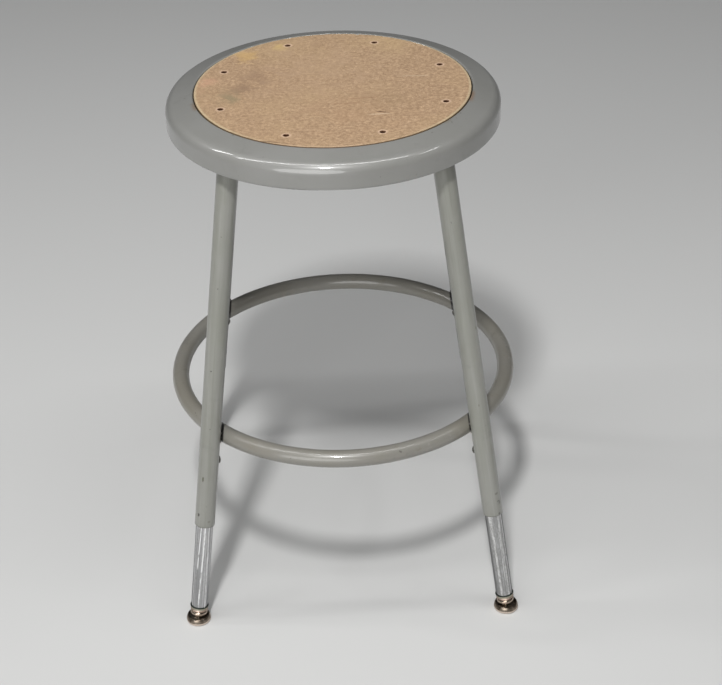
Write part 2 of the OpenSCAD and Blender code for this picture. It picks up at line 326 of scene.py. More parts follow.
def mix(factor, first, second):
    node = put("Mix", {"data_type": "RGBA"})
    for index, value in ((0, factor), (6, first), (7, second)):
        setSocket(node.inputs[index], (*value, 1) if isinstance(value, tuple) else value)
    return node.outputs[2]


def layered(base, *layers):
    # each layer: the value it follows, where it starts and ends, strength before and after, colour
    for value, low, high, before, after, colour in layers:
        base = mix(spread(value, low, high, before, after), base, colour)
    return base


def calc(operation, first, second=0):
    return put("Math", {"operation": operation}, {0: first, 1: second}).outputs[0]


def vectorCalc(operation, first, second=(0, 0, 0)):
    return put("VectorMath", {"operation": operation}, {0: first, 1: second}).outputs["Value"]


def add(first, second):
    return calc("ADD", first, second)


def minus(first, second):
    return calc("SUBTRACT", first, second)


def times(first, second):
    return calc("MULTIPLY", first, second)


def moved(coord, place=(0, 0, 0), turn=(0, 0, 0), scale=(1, 1, 1)):
    inputs = {"Vector": coord, "Location": place, "Rotation": turn, "Scale": scale}
    return put("Mapping", None, inputs).outputs["Vector"]


def longNoise(coord, squeeze, *settings):
    # noise drawn out along Z
    return noise(moved(coord, scale=(1, 1, squeeze)), *settings)


def split(coord):
    return put("SeparateXYZ", None, {"Vector": coord}).outputs


def bearingOf(axes):
    # angle round the Z axis
    return calc("ARCTAN2", axes["Y"], axes["X"])


def apart(value, middle):
    # how far a value lies from a middle one, either way
    return calc("ABSOLUTE", minus(value, middle))


def stretch(first, second):
    # distance from two parts
    return calc("SQRT", add(times(first, first), times(second, second)))


def bump(height, strength, distance):
    inputs = {"Height": height, "Strength": strength, "Distance": distance}
    feed(Normal=put("Bump", None, inputs).outputs["Normal"])


# enamels: colour, worn colour, gloss, dirt
paint = {
    "pan": ((0.208, 0.207, 0.196), (0.188, 0.187, 0.174), 0.34, 0.3),
    "leg": ((0.222, 0.222, 0.201), (0.194, 0.196, 0.169), 0.34, 0.35),
    "ring": ((0.2, 0.193, 0.172), (0.183, 0.172, 0.143), 0.32, 0.45),
    "under": ((0.2, 0.2, 0.19), (0.16, 0.155, 0.145), 0.42, 0.5),
}
bareSteel = (0.05, 0.043, 0.034)


def enamelBase(coord, colour, worn, gloss, dirt):
    # grey enamel: soft clouding, faint smears and a few dark specks; gives colour, gloss and a mask
    clouds = noise(coord, 9, 4, 0.6)
    base = mix(spread(clouds, 0.35, 0.7), colour, worn)
    smear = spread(noise(coord, 38, 6, 0.7, 0.6), 0.56, 0.78)
    base = mix(times(smear, dirt), base, tuple(c * 0.6 for c in colour))
    speck = spread(noise(coord, 190, 2, 0.5), 0.735, 0.775)
    base = mix(times(speck, 0.6), base, bareSteel)
    rough = spread(clouds, 0.3, 0.75, gloss - 0.03, gloss + 0.06)
    return base, add(rough, times(smear, 0.14)), speck


def darkEnamel(name, grain):
    # enamel over welds and the pressed parts under the seat, with dust and soot
    mat, coord = newMaterial(name)
    base, rough, speck = enamelBase(coord, *paint["under"])
    # random dark sooty patches
    sootAndShade = spread(noise(coord, 120, 5, 0.7, 0.4), 0.5, 0.72)
    base = mix(times(sootAndShade, 0.5), base, (0.075, 0.06, 0.045))
    feed(Base_Color=base, Roughness=add(rough, times(sootAndShade, 0.15)))
    bump(minus(noise(coord, grain, 3, 0.6), speck), 0.3, 0.0003)
    return mat


def tarnished(name, colour, tarnish, rust, gloss, band=None, below=None):
    # tarnished plating with rust spots; a band of heights can be darkened, and what is below one height
    # toned, which on the glide base is a painted highlight
    mat, coord = newMaterial(name, own=True)
    height = split(coord)["Z"]
    blotch = noise(coord, 170, 5, 0.7, 0.6)
    patch = noise(coord, 75, 4, 0.65, 0.8)
    base = mix(spread(blotch, 0.35, 0.7), colour, tarnish)
    rusty = spread(patch, 0.66 - 0.2 * rust, 0.74 - 0.2 * rust)
    base = mix(rusty, base, (0.12, 0.05, 0.022))
    dullMask, low, soft = rusty, 0, 0.0002  # soft is how wide the ends of a band are
    if band:
        bandLow, bandHigh, lipBandColour = band
        lowEdge = spread(height, bandLow, bandLow + soft)
        inBand = times(lowEdge, fade(height, bandHigh, bandHigh + soft))
        base = mix(inBand, base, lipBandColour)
        dullMask = calc("MAXIMUM", dullMask, inBand)
    if below:
        low = fade(height, below[0], below[0] + soft)
        base = mix(low, base, below[1])
    roughening = add(times(dullMask, 0.25), times(low, 0.16))
    rough = add(spread(blotch, 0.3, 0.7, gloss, gloss + 0.14), roughening)
    feed(Base_Color=base, Metallic=spread(dullMask, 0, 1, 1, 0.2), Roughness=rough)
    bump(add(blotch, rusty), 0.2, 0.0002)
    return mat


print("seat pan")
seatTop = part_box("seat_board")[1].z
pan = {
    "radius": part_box("seat_pan")[1].x,
    "bottom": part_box("seat_pan")[0].z,
    "wall": 0.0012,
    "boardThick": 0.00635,
    "boardProud": 0.0004,
    "rimSlope": 14,
    "shoulder": 0.012,
    "recess": 0.1474,
    "lip": 0.002,
    "bend": 0.001,
    "hem": 0.0024,
    "hemTurn": 250,
    "floorRings": (0.05, 0.1),
    "sides": 240,
    # dents: bearing, height below the seat's top, depth, size
    "dents": [
        (-67, 0.012, 0.00035, 0.02),
        (-60, 0.022, 0.0003, 0.016),
        (-25, 0.02, 0.00035, 0.02),
        (40, 0.02, 0.0004, 0.022),
        (150, 0.018, 0.0004, 0.02),
    ],
    # brown dirt where the board meets the pan: bearing, half width, colour, strength
    "dirt": [
        (-165, 5, (0.17, 0.1, 0.05), 0.55),
        (-14, 7, (0.2, 0.11, 0.05), 0.6),
        (-40, 3, (0.16, 0.12, 0.07), 0.35),
    ],
    "dirtFull": 0.0031,  # how far out from the recess it is thick, and where it ends
    "dirtEnd": 0.0081,
    "gapWide": 0.0006,
    "gapDark": (0.06, 0.05, 0.03),
    # the hem's painted highlight at the front: its bearing, heights and colour
    "hemHighlightAt": -92,  # bearing of the hem's bright stretch, its heights and colour
    "hemHighlightFull": 0.0011,
    "hemHighlightEnd": 0.0017,
    "wearAndHighlight": (0.62, 0.62, 0.6),
    "scuff": (0.3, 0.3, 0.285),
}


def panEnamel():
    # the pan's enamel, scuffed along the front of the skirt and stained beside the board, with a painted
    # highlight on the hem at the very front
    mat, coord = newMaterial("panEnamel", Coat_Weight=1, Coat_Roughness=0.07)
    base, rough, speck = enamelBase(coord, *paint["pan"])
    axes = split(coord)
    around = bearingOf(axes)
    radius = stretch(axes["X"], axes["Y"])
    uneven = noise(coord, 26, 3, 0.6)
    edge = pan["recess"]
    outwards = add(radius, times(uneven, 0.004))
    close = fade(outwards, edge + pan["dirtFull"], edge + pan["dirtEnd"])
    for bearing, wide, colour, strength in pan["dirt"]:
        off = apart(around, radians(bearing))
        near = fade(off, radians(wide * 0.3), radians(wide))
        base = mix(times(times(near, close), strength), base, colour)
    # a dark band just outside the recess, next to the board's edge
    base = mix(fade(radius, edge, edge + pan["gapWide"], 0.7), base, pan["gapDark"])
    # painted highlight: the hem is painted bright at the very front
    low = fade(axes["Z"], pan["bottom"] + pan["hemHighlightFull"], pan["bottom"] + pan["hemHighlightEnd"])
    front = fade(apart(around, radians(pan["hemHighlightAt"])), 0.05, 0.16)
    wearAndHighlight = times(times(low, front), spread(uneven, 0.35, 0.6, 0.4, 1))
    base = mix(wearAndHighlight, base, pan["wearAndHighlight"])
    # lengthwise scuffs
    along = put("CombineXYZ", None, {"X": times(around, 0.03), "Y": axes["Z"], "Z": radius}).outputs[0]
    scuff = spread(noise(along, 240, 5, 0.75), 0.62, 0.76)
    base = mix(times(scuff, 0.14), base, pan["scuff"])
    feed(Base_Color=base, Roughness=add(rough, times(scuff, 0.12)))
    peel = add(noise(coord, 300, 2, 0.4), times(noise(coord, 60, 2, 0.5), 1.6))
    bump(minus(peel, speck), 0.1, 0.0002)
    return mat


def panSection():
    floorZ = seatTop - pan["boardThick"]
    lipX, lipZ = pan["recess"] + pan["lip"], seatTop - pan["boardProud"] - pan["lip"]
    shoulderX = pan["radius"] - pan["shoulder"]
    slope = radians(pan["rimSlope"])
    fall = (shoulderX - lipX) * tan(slope) + (pan["shoulder"] - pan["lip"]) / cos(slope)
    hemX, hemZ = pan["radius"] - pan["hem"], pan["bottom"] + pan["hem"]
    upper = 90 - pan["rimSlope"]
    lipArc = arc(lipX, lipZ, pan["lip"], 180, upper, 10)
    shoulderArc = arc(shoulderX, lipZ - fall, pan["shoulder"], upper, 0, 16)
    hemArc = arc(hemX, hemZ, pan["hem"], 0, -pan["hemTurn"], 18)
    return (
        [(pole, floorZ)] + [(wide, floorZ) for wide in pan["floorRings"]]
        + corner(pan["recess"], floorZ, pan["bend"], -90, 5)
        + lipArc + between(lipArc[-1], shoulderArc[0], 3)
        + shoulderArc + between(shoulderArc[-1], hemArc[0], 4) + hemArc
    )


seatPan = closeUp(turned("seatPan", panSection(), pan["sides"]))
for bearing, below, depth, size in pan["dents"]:
    turn = radians(bearing)
    outward = Vector((cos(turn), sin(turn), 0))
    spot = outward * pan["radius"] + Vector((0, 0, seatTop - below))
    pressed(seatPan, spot, -depth * outward, size, "SMOOTH")
applyModifier(seatPan, "SOLIDIFY", thickness=pan["wall"], offset=-1)
smooth(seatPan)
finishPiece(seatPan, "frame", panEnamel(), "seat_pan")


print("board and rivets")
board = {
    "radius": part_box("seat_board")[1].x,
    "edge": 0.0012,
    "lowEdge": 0.0004,
    "rings": (0.004, 0.07),  # a ring this far in from the edge, and one this wide
    "rivetCircle": 0.1262,
    "rivetStart": 22.5,
    "rivets": 8,
    "counterbore": 0.0029,
    "counterFlare": (0.94, 1.1),
    "counterDepth": 0.00125,
    "chip": (30, 142, 0.0026),  # the way from the middle to it, and its size
    # broad stains: place, size, colour, strength
    "stains": [
        ((-0.106, -0.021), 0.021, (0.19, 0.17, 0.1), 0.66),
        ((-0.0936, 0.002), 0.022, (0.18, 0.115, 0.075), 0.62),
        ((-0.0785, 0.0317), 0.024, (0.18, 0.11, 0.07), 0.56),
        ((-0.12, 0), 0.022, (0.3, 0.21, 0.125), 0.45),
        ((-0.05, 0), 0.11, (0.36, 0.245, 0.155), 0.25),
        ((0.055, -0.04), 0.04, (0.25, 0.175, 0.1), 0.36),
        ((0.02, -0.06), 0.07, (0.36, 0.225, 0.13), 0.3),
        ((-0.0895, 0.088), 0.022, (0.56, 0.36, 0.12), 0.45),
        ((-0.135, 0.018), 0.02, (0.56, 0.31, 0.21), 0.42),
        ((-0.058, 0.1163), 0.013, (0.58, 0.42, 0.16), 0.5),
        ((0, 0.06), 0.1, (0.42, 0.29, 0.19), 0.3),
        ((0.06, 0.12), 0.045, (0.5, 0.36, 0.19), 0.3),
        ((-0.014, 0.112), 0.01, (0.22, 0.13, 0.08), 0.4),
    ],
    # scratches: middle, turn, half length, half width, colour, strength
    "scratches": [
        ((0.029, -0.033), 4, 0.02, 0.0007, (0.24, 0.13, 0.07), 0.6),
        ((0.014, -0.045), 3, 0.016, 0.0006, (0.24, 0.13, 0.07), 0.45),
        ((0.05, -0.069), -14, 0.007, 0.0011, (0.1, 0.055, 0.03), 0.9),
        ((0.047, -0.074), 0, 0.012, 0.0009, (0.66, 0.52, 0.38), 0.6),
        ((0.111, -0.009), -8, 0.01, 0.0008, (0.22, 0.13, 0.08), 0.6),
        ((0.088, 0.02), 0, 0.018, 0.0008, (0.6, 0.47, 0.34), 0.5),
        ((-0.061, -0.131), -17, 0.015, 0.0007, (0.13, 0.08, 0.045), 0.85),
        ((-0.125, -0.006), 2, 0.014, 0.0008, (0.28, 0.17, 0.1), 0.5),
    ],
    "rivetHalo": (0.6, 0.43, 0.31),
    "rivetRingDark": (0.11, 0.052, 0.026),
    "edgeWearAndHighlight": (0.5, 0.42, 0.27),
    "edgeDark": (0.075, 0.045, 0.022),
}


def hardboard(rivetPlaces):
    # pressed wood fibre: fine mottling and flecks, broad stains, scratches and a pale edge, worn and with a
    # painted highlight at the sides
    mat, coord = newMaterial("hardboardFace", Specular_IOR_Level=0.35)
    axes = split(coord)
    flat = put("CombineXYZ", None, {"X": axes["X"], "Y": axes["Y"]}).outputs[0]
    broad = noise(coord, 7, 3, 0.6)
    mottle = noise(coord, 260, 6, 0.8, 0.25)
    fibre = noise(coord, 330, 4, 0.75, 0.5)
    clumps = noise(coord, 95, 4, 0.7)
    flecks = noise(coord, 520, 3, 0.6)
    base = mix(spread(mottle, 0.34, 0.66), (0.245, 0.158, 0.092), (0.5, 0.343, 0.214))
    base = layered(
        base,
        (clumps, 0.38, 0.62, 0, 0.3, (0.27, 0.178, 0.108)),
        (broad, 0.42, 0.66, 0, 0.4, (0.42, 0.295, 0.165)),
        (flecks, 0.6, 0.68, 0, 0.7, (0.16, 0.09, 0.05)),
        (fibre, 0.56, 0.7, 0, 0.75, (0.215, 0.135, 0.08)),
        (fibre, 0.3, 0.44, 0.6, 0, (0.56, 0.41, 0.28)),
    )
    wobble = noise(coord, 45, 5, 0.7)
    for place, size, colour, strength in board["stains"]:
        off = vectorCalc("DISTANCE", flat, (*place, 0))
        off = add(off, spread(wobble, 0.3, 0.7, -0.6 * size, 0.6 * size))
        base = mix(fade(off, -0.2 * size, size, strength), base, colour)
    groove = fibre
    for (x, y), turn, length, wide, colour, strength in board["scratches"]:
        local = moved(flat, place=(-x, -y, 0))
        local = split(moved(local, turn=(0, 0, radians(-turn))))
        cross = add(local["Y"], spread(wobble, 0.3, 0.7, -1.2 * wide, 1.2 * wide))
        line = stretch(times(local["X"], 1 / length), times(cross, 1 / wide))
        inside = fade(line, 0.6, 1.25, strength)
        base = mix(inside, base, colour)
        groove = minus(groove, times(inside, 1.5))
    # a pale rubbed halo round each rivet, and a dark brown ring in and just round its counterbore
    for x, y in rivetPlaces:
        off = vectorCalc("DISTANCE", flat, (x, y, 0))
        base = mix(fade(off, 0.0036, 0.0066, 0.6), base, board["rivetHalo"])
        base = mix(fade(off, 0.003, 0.0037, 0.9), base, board["rivetRingDark"])
    # the edge is pale at the sides, from wear and a painted highlight, and its rounded side is darkened
    far = vectorCalc("LENGTH", flat)
    radius = board["radius"]
    # painted highlight: pale towards the left and right of the edge, together with wear
    sideways = spread(calc("ABSOLUTE", axes["X"]), 0.06, 0.12)
    wearAndHighlight = spread(far, radius - 0.0034, radius - 0.0018)
    wearAndHighlight = times(wearAndHighlight, add(times(sideways, 0.42), 0.06))
    base = mix(wearAndHighlight, base, board["edgeWearAndHighlight"])
    # the rounded side of the edge is darkened
    edgeDarkening = add(far, times(wobble, 0.0006))
    edgeDarkening = spread(edgeDarkening, radius - 0.0003, radius + 0.0002, 0, 0.8)
    base = mix(edgeDarkening, base, board["edgeDark"])
    feed(Base_Color=base, Roughness=spread(mottle, 0.3, 0.7, 0.5, 0.62))
    bump(add(mottle, groove), 0.3, 0.0003)
    return mat


rivetPlaces = []
for k in range(board["rivets"]):
    turn = radians(board["rivetStart"] + k * 360 / board["rivets"])
    rivetPlaces.append((board["rivetCircle"] * cos(turn), board["rivetCircle"] * sin(turn)))

floorZ = seatTop - pan["boardThick"]
boardR, lowEdge = board["radius"], board["lowEdge"]
ringIn, ringWide = board["rings"]
boardSection = (
    [(pole, floorZ), (boardR - lowEdge, floorZ), (boardR, floorZ + lowEdge)]
    + corner(boardR, seatTop, board["edge"], 0, 8)
    + [(boardR - ringIn, seatTop), (ringWide, seatTop), (pole, seatTop)]
)
seatBoard = closeUp(turned("seatBoard", boardSection, 200))
boreLow, boreHigh = (board["counterbore"] * share for share in board["counterFlare"])
boreDeep = board["counterDepth"]
cutters = [pin((x, y, seatTop), boreLow, 2 * boreDeep, radius2=boreHigh) for x, y in rivetPlaces]
chipX, chipY, chipSize = board["chip"]
chipPlace = Vector((chipX, chipY, 0)).normalized() * boardR + Vector((0, 0, seatTop))
clearSelection()
bpy.ops.mesh.primitive_ico_sphere_add(subdivisions=2, radius=chipSize, location=chipPlace)
cutters.append(bpy.context.object)
combine(seatBoard, cutters)
smooth(seatBoard)
finishPiece(seatBoard, "frame", hardboard(rivetPlaces), "seat_board")

rivet = {
    "head": 0.0026,
    "shank": 0.0017,
    "tail": 0.003,
    "sink": 0.00035,
    "dish": 0.0004,
    "edge": 0.0003,
    "tailHigh": 0.0016,
}
head, tail, tailHigh = rivet["head"], rivet["tail"], rivet["tailHigh"]
crown, dishZ = seatTop - rivet["sink"], seatTop - rivet["sink"] - rivet["dish"]
boreFloor, underFloor = seatTop - boreDeep, floorZ - pan["wall"]
rivetSection = [
    (pole, dishZ), (head * 0.45, dishZ), (head * 0.62, crown - 0.0001), (head * 0.8, crown),
    (head, crown - rivet["edge"]), (head, boreFloor), (rivet["shank"], boreFloor),
    (rivet["shank"], underFloor), (tail * 0.9, underFloor), (tail, underFloor - tailHigh * 0.4),
    (tail * 0.75, underFloor - tailHigh * 0.9), (tail * 0.45, underFloor - tailHigh),
    (tail * 0.3, underFloor - tailHigh * 0.55), (pole, underFloor - tailHigh * 0.5),
]
rivetMat = tarnished("rivetBrown", (0.12, 0.052, 0.026), (0.05, 0.022, 0.012), 0.6, 0.5)
rivetMaster = smooth(markPlace(closeUp(turned("boardRivet", rivetSection, 24))))
for k, (x, y) in enumerate(rivetPlaces):
    place = Matrix.Translation((x, y, 0))
    placeCopy(rivetMaster, f"boardRivet{k + 1}", place, "frame", rivetMat, "board_rivets")
discard(rivetMaster)


print("leg tubes")
leg = {
    "outer": 0.0111125,
    "wall": 0.00124,
    "lowEnd": 0.1265,
    "spare": 0.004,
    "edge": 0.0003,
    "rings": [0.18, 0.24, 0.3, 0.36, 0.42, 0.48, 0.53],
    "fineStep": 0.0004,
    "dimpleAt": 0.1419,
    "dimpleDeep": 0.0007,
    "dimpleWide": 0.0024,
    "bumpIn": 0.00028,
    "screwAt": 0.204,
    "screwHole": 0.00245,
    "extOuter": 0.009525,
    "extLowEnd": 0.0206,
    "extHole": 0.003175,
    "holePitch": 0.0254,
    "holeSteps": 3,
    "holeMargin": 0.014,
    "paleStreak": (0.262, 0.262, 0.242),
    "darkStreak": (0.165, 0.168, 0.14),
    "greenish": (0.19, 0.202, 0.152),
    "endDirt": (0.06, 0.055, 0.045),
    # painted highlight lines on the zinc: bearing at the low and high end, their places, half width
    "dulledHighlightLines": [(12, 12, 0.022, 0.126, 3.5)],
    "highlightLines": [(16, 24, 0.075, 0.126, 5), (38, 53, 0.022, 0.126, 5.5), (84, 80, 0.022, 0.126, 2.5)],
}
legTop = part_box("upper_leg_front_left")[1].z
oldDirt = (0.07, 0.065, 0.05)
legMarks = {
    # chips, and painted shade round the dimple on the front legs: bearing on the tube, place along it, half
    # width, half height, colour, strength
    "front_left": [
        # painted shade in the dimple
        (2, 0.1436, 0.0016, 0.0021, (0.03, 0.028, 0.022), 0.85),
        (26.6, 0.3228, 0.0009, 0.0009, (0.05, 0.045, 0.035), 0.9),
        (19.2, 0.1902, 0.0012, 0.0036, (0.07, 0.068, 0.04), 0.85),
        (70, 0.1366, 0.002, 0.0016, (0.12, 0.11, 0.085), 0.5),
        (-30, 0.402, 0.0012, 0.003, (0.13, 0.12, 0.09), 0.4),
        (150, 0.31, 0.0016, 0.004, oldDirt, 0.7),
    ],
    "front_right": [
        # this mark and the next are painted shade round the dimple
        (-2, 0.1466, 0.0022, 0.0009, (0.06, 0.056, 0.045), 0.7),
        (8, 0.1441, 0.0008, 0.0022, (0.06, 0.056, 0.045), 0.6),
        (-9.2, 0.1568, 0.0024, 0.0014, (0.08, 0.075, 0.055), 0.6),
        (-8.3, 0.1310, 0.0012, 0.0016, (0.05, 0.045, 0.04), 0.8),
        (8, 0.36, 0.001, 0.0022, (0.14, 0.13, 0.1), 0.45),
        (-40, 0.27, 0.0009, 0.0018, (0.12, 0.11, 0.08), 0.5),
        (160, 0.2, 0.0016, 0.003, oldDirt, 0.7),
    ],
    "rear_right": [
        (20, 0.26, 0.0014, 0.003, oldDirt, 0.8),
        (-35, 0.41, 0.001, 0.0016, (0.09, 0.08, 0.06), 0.7),
    ],
    "rear_left": [
        (-15, 0.22, 0.0012, 0.0034, oldDirt, 0.8),
        (40, 0.35, 0.0016, 0.0014, (0.09, 0.08, 0.06), 0.7),
    ],
}


def legEnamel(side):
    # a leg's enamel: lengthwise streaks, greenish patches, chips to bare metal, painted shade round the
    # dimple on the front legs, dirt at the open end
    mat, coord = newMaterial("legEnamel_" + side, own=True, Coat_Weight=0.6, Coat_Roughness=0.12)
    base, rough, speck = enamelBase(coord, *paint["leg"])
    streak = longNoise(coord, 0.04, 190, 4, 0.65)
    green = longNoise(coord, 0.4, 24, 4, 0.6)
    base = layered(
        base,
        (streak, 0.5, 0.68, 0, 0.55, leg["paleStreak"]),
        (streak, 0.32, 0.46, 0.5, 0, leg["darkStreak"]),
        (green, 0.55, 0.72, 0, 0.4, leg["greenish"]),
    )
    axes = split(coord)
    around = bearingOf(axes)
    ragged = times(noise(coord, 700, 3, 0.6), 0.9)
    depth = speck
    for bearing, along, wide, high, colour, strength in legMarks[side]:
        u = times(minus(around, radians(bearing)), leg["outer"] / wide)
        v = times(minus(axes["Z"], along), 1 / high)
        inside = fade(add(stretch(u, v), ragged), 1.15, 1.5, strength)
        base = mix(inside, base, colour)
        depth = add(depth, inside)
    endAt = alongLeg(leg["lowEnd"])
    base = mix(fade(axes["Z"], endAt, endAt + 0.0016, 0.75), base, leg["endDirt"])
    feed(Base_Color=base, Roughness=add(rough, times(depth, 0.2)))
    height = add(noise(coord, 380, 2, 0.4), times(streak, 0.6))
    bump(minus(height, times(depth, 2)), 0.13, 0.0002)
    return mat


def plated(name, lines=(), dulled=0):
    # bright zinc drawn lengthwise, with clouds, dark stripes and bright lines; lines adds painted highlight
    # streaks at set bearings; dulled adds grey blotches
    mat, coord = newMaterial(name, own=True, Metallic=1, Specular_Tint=(0.4, 0.4, 0.41, 1))
    streak = longNoise(coord, 0.02, 520, 4, 0.7)
    stripe = longNoise(coord, 0.015, 170, 3, 0.6)
    shine = longNoise(coord, 0.01, 300, 2, 0.5)
    cloud = longNoise(coord, 0.5, 60, 5, 0.65, 0.5)
    pits = noise(coord, 420, 3, 0.6, 0.5)
    base = ramp(streak, (0.36, (0.36, 0.36, 0.365)), (0.52, (0.52, 0.52, 0.53)), (0.64, (0.74, 0.74, 0.75)))
    base = layered(
        base,
        (stripe, 0.36, 0.5, 0.6, 0, (0.27, 0.275, 0.28)),
        (shine, 0.6, 0.66, 0, 0.9, (1, 1, 1)),
        (cloud, 0.5, 0.75, 0, 0.4, (0.36, 0.36, 0.34)),
        (pits, 0.52, 0.66, 0, 0.5, (0.3, 0.29, 0.28)),
    )
    dull = longNoise(coord, 0.35, 300, 5, 0.7, 0.8)
    base = layered(base, (dull, 0.4, 0.6, 0.25 * dulled, dulled, (0.3, 0.3, 0.29)))
    axes = split(coord)
    around = bearingOf(axes)
    broken = spread(longNoise(coord, 0.3, 260, 3, 0.6), 0.36, 0.5, 0.3, 1)
    # painted highlights: white streaks along the tube at set bearings, broken here and there
    highlight = 0
    for lowTurn, highTurn, low, high, wide in lines:
        turn = spread(axes["Z"], low, high, radians(lowTurn), radians(highTurn))
        inside = fade(apart(around, turn), radians(wide * 0.5), radians(wide))
        inside = times(inside, spread(axes["Z"], low - 0.004, low))
        highlight = add(highlight, times(inside, broken))
    if lines:
        base = mix(highlight, base, (1, 1, 1))
    rough = add(spread(streak, 0.3, 0.7, 0.1, 0.04), times(highlight, 0.35))
    rough = add(rough, spread(cloud, 0.45, 0.75, 0, 0.12))
    feed(Base_Color=base, Roughness=rough)
    bump(add(streak, stripe), 0.4, 0.0002)
    return mat


def tubeSection(outer, low, high, fine=()):
    # closed wall: up the outside, over the rim, down the bore and round the lower rim
    bore, edge = outer - leg["wall"], leg["edge"]
    heights = [low + edge, *sorted(fine), high - edge]
    return (
        [(outer, z) for z in heights]
        + corner(outer, high, edge, 0)[1:] + corner(bore, high, edge, 90)
        + [(bore, z) for z in reversed(heights)][1:]
        + corner(bore, low, edge, 180)[1:] + corner(outer, low, edge, 270)
    )


dimpleAt, screwAt = alongLeg(leg["dimpleAt"]), alongLeg(leg["screwAt"])
fineRings = [dimpleAt + leg["fineStep"] * k for k in range(-8, 9)] + leg["rings"]
tubeEnds = alongLeg(leg["lowEnd"]), alongLeg(legTop) + leg["spare"]
tubeMaster = closeUp(turned("upperTube", tubeSection(leg["outer"], *tubeEnds, fineRings), 144))
pressed(tubeMaster, (leg["outer"], 0, dimpleAt), (-leg["dimpleDeep"], 0, 0), leg["dimpleWide"])
bore = leg["outer"] - leg["wall"]
pressed(tubeMaster, (bore, 0, dimpleAt), (-leg["bumpIn"], 0, 0), leg["dimpleWide"])
combine(tubeMaster, [pin((-leg["outer"], 0, screwAt), leg["screwHole"], 0.008, (1, 0, 0))])
editAll(tubeMaster)  # the top is cut level with the floor
levelUp = legFrame("front_left").to_3x3().inverted() @ Vector((0, 0, 1))
bpy.ops.mesh.bisect(
    plane_co=levelUp * (legTop / levelUp.length_squared), plane_no=levelUp,
    use_fill=True, clear_outer=True,
)
objectMode()
smooth(markPlace(tubeMaster))
for side in sides:
    name, node = "upperTube_" + side, "upper_leg_" + side
    placeCopy(tubeMaster, name, legFrame(side), "frame", legEnamel(side), node)
discard(tubeMaster)

extLow = alongLeg(leg["extLowEnd"])
extHigh = screwAt + leg["holeSteps"] * leg["holePitch"] + leg["holeMargin"]
extMaster = closeUp(turned("lowerTube", tubeSection(leg["extOuter"], extLow, extHigh), 96))
combine(extMaster, [
    pin((-leg["extOuter"], 0, screwAt + k * leg["holePitch"]), leg["extHole"], 0.012, (1, 0, 0))
    for k in range(-leg["holeSteps"], leg["holeSteps"] + 1)
])
smooth(markPlace(extMaster), 35)
# the front legs' zinc carries painted highlight lines
zincPlate = plated("zincPlate")
zincDulled = plated("zincDulled", leg["dulledHighlightLines"], 0.62)
zincHighlighted = plated("zincHighlighted", leg["highlightLines"])
for side in sides:
    name, node = "lowerTube_" + side, "lower_leg_" + side
    mat = {"front_left": zincHighlighted, "front_right": zincDulled}.get(side, zincPlate)
    placeCopy(extMaster, name, legFrame(side), "leg_" + side, mat, node)
discard(extMaster)


print("foot ring and welds")
ring = {
    "tube": 0.009525,
    "reach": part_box("foot_ring")[1].x,
    "height": (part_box("foot_ring")[0].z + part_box("foot_ring")[1].z) / 2,
    "steps": 240,
    # the ring's own worn colour, where shoes rub it
    "wearAndHighlight": (0.14, 0.115, 0.08),
    "pale": (0.34, 0.33, 0.3),
    # near-black colour of the painted shade beside each leg
    "sootAndShade": (0.012, 0.011, 0.01),
    # painted shade in the corner between ring and leg, beside the leg as the camera sees it: how far it
    # reaches out from the tube, and to which side
    "shadeReach": {
        "front_left": (0.003, 1),
        "front_right": (0.0014, -1),
        "rear_left": (0.0015, 1),
        "rear_right": (0.0015, -1),
    },
    # the painted shade's outer face lies close to the camera's line of sight
    "shadeSlant": (-0.1, 1, -0.713),  # its outer face follows this line, mirrored on the right
}


def ringEnamel():
    # the ring's warmer glossy enamel: rubbed on top by shoes, dull smears, chips, and painted shade beside
    # each leg
    mat, coord = newMaterial("ringEnamel", Coat_Weight=0.45, Coat_Roughness=0.08)
    base, rough, speck = enamelBase(coord, *paint["ring"])
    rub = spread(noise(coord, 85, 6, 0.75, 0.5), 0.56, 0.74)
    base = mix(times(rub, 0.45), base, ring["wearAndHighlight"])
    pale = spread(noise(coord, 60, 5, 0.7, 0.3), 0.6, 0.75)
    base = mix(times(pale, 0.35), base, ring["pale"])
    around = bearingOf(split(coord))
    # painted shade: near black on the ring beside each leg, up to a plane through the leg's axis close to
    # the camera's line of sight
    slantX, slantY, slantZ = ring["shadeSlant"]
    for side, (reach, way) in ring["shadeReach"].items():
        tube = legFrame(side)
        middle, up = tube.translation, tube.to_3x3().col[2]
        aside = up.cross(Vector((slantX * way, slantY, slantZ))).normalized()
        aside *= 1 if aside.x * way > 0 else -1
        off = vectorCalc("DOT_PRODUCT", coord, tuple(aside))
        off = add(off, -middle.dot(aside) - leg["outer"])
        edge = add(off, spread(rub, 0, 1, -0.0003, 0.0006))
        near = fade(apart(around, atan2(middle.y, middle.x)), 0.1, 0.11)
        inside = fade(calc("ABSOLUTE", edge), reach * 0.8, reach, 0.93)
        base = mix(times(inside, near), base, ring["sootAndShade"])
    feed(Base_Color=base, Roughness=add(rough, times(rub, 0.12)))
    height = add(noise(coord, 300, 2, 0.4), times(rub, 0.5))
    bump(minus(height, speck), 0.12, 0.0002)
    return mat


ringRadius = ring["reach"] - ring["tube"]
footRing = circle("footRing", 48, ring["tube"], (ringRadius, 0, ring["height"]), pi / 2)
editAll(footRing)
bpy.ops.mesh.spin(steps=ring["steps"], angle=2 * pi, center=(0, 0, ring["height"]), axis=(0, 0, 1))
objectMode()
smooth(closeUp(footRing))
finishPiece(footRing, "frame", ringEnamel(), "foot_ring")

